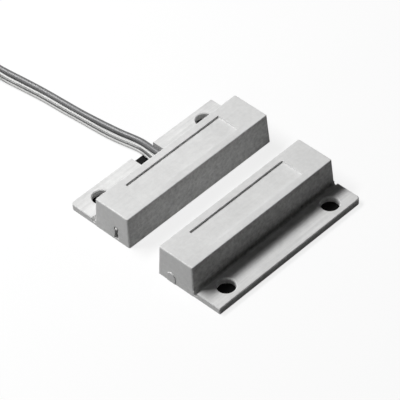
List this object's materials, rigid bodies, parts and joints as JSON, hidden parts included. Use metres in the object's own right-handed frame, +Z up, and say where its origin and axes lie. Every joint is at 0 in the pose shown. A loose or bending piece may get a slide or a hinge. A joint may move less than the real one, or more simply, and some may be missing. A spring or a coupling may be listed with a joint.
{
  "type": "magnetic door contact",
  "caption": "Surface magnetic door contact: a potted reed switch unit with two leads and a side screw flange, beside its matching magnet unit.",
  "frame": {"origin": "middle of the space that the two units cover, on the surface that both stand on", "axes": "+X along both units, +Y from the magnet unit towards the switch unit and its leads, +Z up out of the mounting surface"},
  "size_m": [0.0639, 0.1188, 0.0088],
  "materials": {
    "grey_moulding": "fine satin moulded ABS",
    "dark_resin": "cast potting resin",
    "reed_capsule": "green-tinted glass",
    "tinned_reed_wire": "bright tinned nickel-iron",
    "solder": "bright solder",
    "tinned_core": "tinned copper strands",
    "light_insulation": "smooth PVC",
    "dark_insulation": "smooth PVC",
    "coil_band": "thin clear-white band",
    "magnet_alloy": "ground cast magnet alloy"
  },
  "bodies": {
    "switch_unit": {"switch_housing": "grey_moulding", "switch_potting": "dark_resin", "reed_glass": "reed_capsule", "reed_long_lead": "tinned_reed_wire", "reed_short_lead": "tinned_reed_wire", "light_solder_joint": "solder", "dark_solder_joint": "solder", "light_lead_core": "tinned_core", "dark_lead_core": "tinned_core", "light_lead": "light_insulation", "dark_lead": "dark_insulation", "light_lead_end": "light_insulation", "dark_lead_end": "dark_insulation", "light_lead_tip": "tinned_core", "dark_lead_tip": "tinned_core", "lead_coil": "dark_insulation", "coil_tie": "coil_band"},
    "magnet_unit": {"magnet_housing": "grey_moulding", "magnet_potting": "dark_resin", "bar_magnet": "magnet_alloy"}
  },
  "joints": [
    {"name": "magnet_travel", "type": "slide", "parent": "switch_unit", "child": "magnet_unit", "axis": [0, -1, 0], "range_m": [-0.0088, 0.03]}
  ]
}
